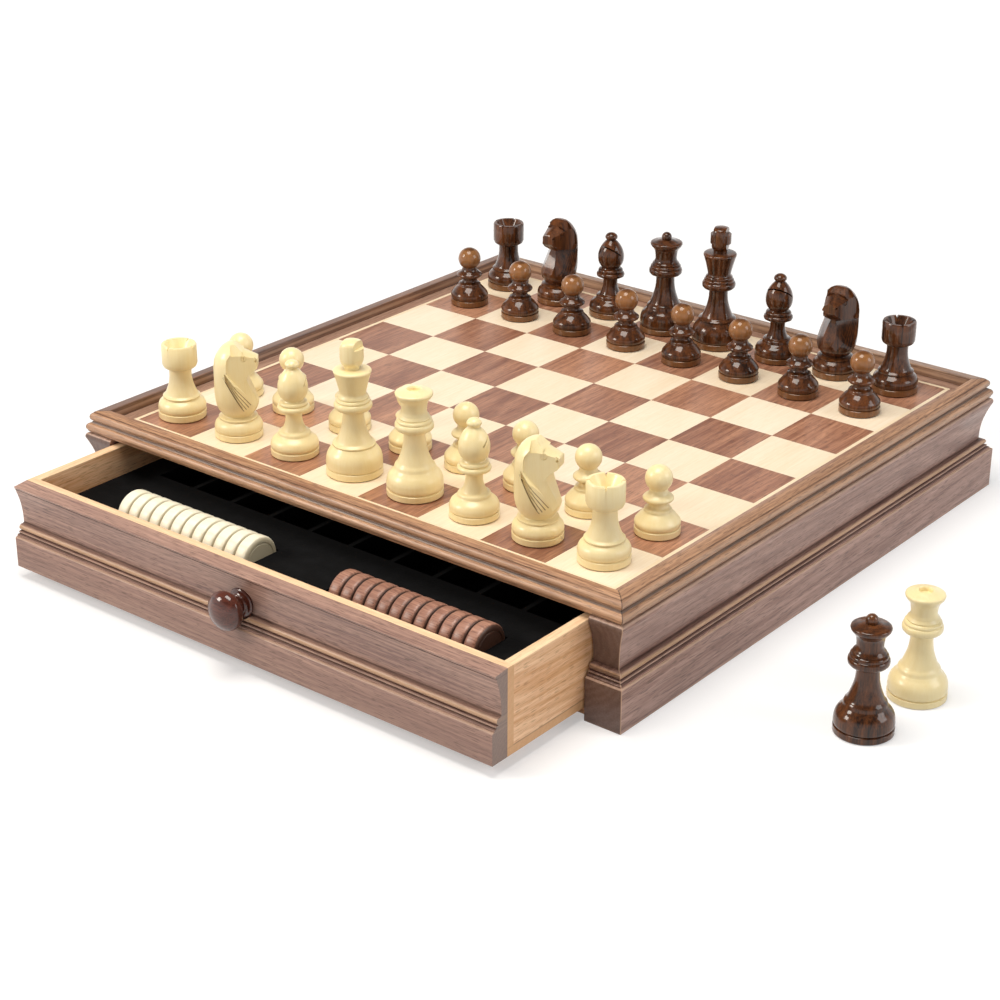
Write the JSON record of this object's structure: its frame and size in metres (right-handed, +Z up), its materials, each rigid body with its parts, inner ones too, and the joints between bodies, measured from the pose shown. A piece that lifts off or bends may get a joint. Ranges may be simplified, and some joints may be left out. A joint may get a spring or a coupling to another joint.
{
  "type": "chess box with drawers",
  "caption": "Square wooden chess box with a sunk board, moulded rim and walls, back-to-back drawers, turned chessmen standing on the board and draughts in the open drawer",
  "frame": {"origin": "centre of the cabinet's footprint on the floor, on the underside of the base panel", "axes": "+X to the cabinet's right, -Y out of its front drawer, +Z up"},
  "size_m": [0.4917, 0.4777, 0.1405],
  "materials": {
    "walnut": "satin lacquer",
    "maple": "satin lacquer",
    "drawer_wood": "sanded and sealed",
    "turned_walnut": "gloss lacquer",
    "steel": "zinc plated",
    "flock": "flocked",
    "light_wood": "satin lacquer",
    "dark_wood": "gloss stain"
  },
  "bodies": {
    "cabinet": {"base_panel": "drawer_wood", "left_wall": "walnut", "right_wall": "walnut", "front_left_post": "walnut", "front_right_post": "walnut", "rear_left_post": "walnut", "rear_right_post": "walnut", "right_rim": "walnut", "rear_rim": "walnut", "left_rim": "walnut", "front_rim": "walnut", "board_core": "drawer_wood", "dark_squares": "walnut", "light_squares": "maple", "maple_line": "maple", "walnut_strip": "walnut", "runners": "drawer_wood", "bay_divider": "drawer_wood"},
    "front_drawer": {"front_drawer_face": "walnut", "front_drawer_inner": "drawer_wood", "front_drawer_left": "drawer_wood", "front_drawer_right": "drawer_wood", "front_drawer_back": "drawer_wood", "front_drawer_floor": "drawer_wood", "front_drawer_knob": "turned_walnut", "front_drawer_screw": "steel", "front_insert_bed": "flock", "front_insert_land": "flock", "front_insert_ribs": "flock"},
    "rear_drawer": {"rear_drawer_face": "walnut", "rear_drawer_inner": "drawer_wood", "rear_drawer_left": "drawer_wood", "rear_drawer_right": "drawer_wood", "rear_drawer_back": "drawer_wood", "rear_drawer_floor": "drawer_wood", "rear_drawer_knob": "turned_walnut", "rear_drawer_screw": "steel", "rear_drawer_lining": "flock"},
    "light_draughts": {"light_draughts": "light_wood"},
    "dark_draughts": {"dark_draughts": "dark_wood"},
    "light_king": {"light_king": "light_wood"},
    "light_queen": {"light_queen": "light_wood"},
    "light_bishop_left": {"light_bishop_left": "light_wood"},
    "light_bishop_right": {"light_bishop_right": "light_wood"},
    "light_knight_left": {"light_knight_left": "light_wood"},
    "light_knight_right": {"light_knight_right": "light_wood"},
    "light_rook_left": {"light_rook_left": "light_wood"},
    "light_rook_right": {"light_rook_right": "light_wood"},
    "light_pawns": {"light_pawns": "light_wood"},
    "dark_king": {"dark_king": "dark_wood"},
    "dark_queen": {"dark_queen": "dark_wood"},
    "dark_bishop_left": {"dark_bishop_left": "dark_wood"},
    "dark_bishop_right": {"dark_bishop_right": "dark_wood"},
    "dark_knight_left": {"dark_knight_left": "dark_wood"},
    "dark_knight_right": {"dark_knight_right": "dark_wood"},
    "dark_rook_left": {"dark_rook_left": "dark_wood"},
    "dark_rook_right": {"dark_rook_right": "dark_wood"},
    "dark_pawns": {"dark_pawns": "dark_wood"},
    "spare_dark_queen": {"spare_dark_queen": "dark_wood"},
    "spare_light_queen": {"spare_light_queen": "light_wood"}
  },
  "joints": [
    {"name": "front_drawer_slide", "type": "slide", "parent": "cabinet", "child": "front_drawer", "axis": [0, -1, 0], "range_m": [-0.0705, 0.08]},
    {"name": "rear_drawer_slide", "type": "slide", "parent": "cabinet", "child": "rear_drawer", "axis": [0, 1, 0], "range_m": [0, 0.15]},
    {"name": "light_draughts_lift", "type": "slide", "parent": "front_drawer", "child": "light_draughts", "axis": [0, 0, 1], "range_m": [0, 0.06]},
    {"name": "dark_draughts_lift", "type": "slide", "parent": "front_drawer", "child": "dark_draughts", "axis": [0, 0, 1], "range_m": [0, 0.06]},
    {"name": "light_king_lift", "type": "slide", "parent": "cabinet", "child": "light_king", "axis": [0, 0, 1], "range_m": [0, 0.1]},
    {"name": "light_queen_lift", "type": "slide", "parent": "cabinet", "child": "light_queen", "axis": [0, 0, 1], "range_m": [0, 0.1]},
    {"name": "light_bishop_left_lift", "type": "slide", "parent": "cabinet", "child": "light_bishop_left", "axis": [0, 0, 1], "range_m": [0, 0.1]},
    {"name": "light_bishop_right_lift", "type": "slide", "parent": "cabinet", "child": "light_bishop_right", "axis": [0, 0, 1], "range_m": [0, 0.1]},
    {"name": "light_knight_left_lift", "type": "slide", "parent": "cabinet", "child": "light_knight_left", "axis": [0, 0, 1], "range_m": [0, 0.1]},
    {"name": "light_knight_right_lift", "type": "slide", "parent": "cabinet", "child": "light_knight_right", "axis": [0, 0, 1], "range_m": [0, 0.1]},
    {"name": "light_rook_left_lift", "type": "slide", "parent": "cabinet", "child": "light_rook_left", "axis": [0, 0, 1], "range_m": [0, 0.1]},
    {"name": "light_rook_right_lift", "type": "slide", "parent": "cabinet", "child": "light_rook_right", "axis": [0, 0, 1], "range_m": [0, 0.1]},
    {"name": "light_pawns_lift", "type": "slide", "parent": "cabinet", "child": "light_pawns", "axis": [0, 0, 1], "range_m": [0, 0.1]},
    {"name": "dark_king_lift", "type": "slide", "parent": "cabinet", "child": "dark_king", "axis": [0, 0, 1], "range_m": [0, 0.1]},
    {"name": "dark_queen_lift", "type": "slide", "parent": "cabinet", "child": "dark_queen", "axis": [0, 0, 1], "range_m": [0, 0.1]},
    {"name": "dark_bishop_left_lift", "type": "slide", "parent": "cabinet", "child": "dark_bishop_left", "axis": [0, 0, 1], "range_m": [0, 0.1]},
    {"name": "dark_bishop_right_lift", "type": "slide", "parent": "cabinet", "child": "dark_bishop_right", "axis": [0, 0, 1], "range_m": [0, 0.1]},
    {"name": "dark_knight_left_lift", "type": "slide", "parent": "cabinet", "child": "dark_knight_left", "axis": [0, 0, 1], "range_m": [0, 0.1]},
    {"name": "dark_knight_right_lift", "type": "slide", "parent": "cabinet", "child": "dark_knight_right", "axis": [0, 0, 1], "range_m": [0, 0.1]},
    {"name": "dark_rook_left_lift", "type": "slide", "parent": "cabinet", "child": "dark_rook_left", "axis": [0, 0, 1], "range_m": [0, 0.1]},
    {"name": "dark_rook_right_lift", "type": "slide", "parent": "cabinet", "child": "dark_rook_right", "axis": [0, 0, 1], "range_m": [0, 0.1]},
    {"name": "dark_pawns_lift", "type": "slide", "parent": "cabinet", "child": "dark_pawns", "axis": [0, 0, 1], "range_m": [0, 0.1]},
    {"name": "spare_dark_queen_lift", "type": "slide", "parent": "cabinet", "child": "spare_dark_queen", "axis": [0, 0, 1], "range_m": [0, 0.1]},
    {"name": "spare_light_queen_lift", "type": "slide", "parent": "cabinet", "child": "spare_light_queen", "axis": [0, 0, 1], "range_m": [0, 0.1]}
  ]
}
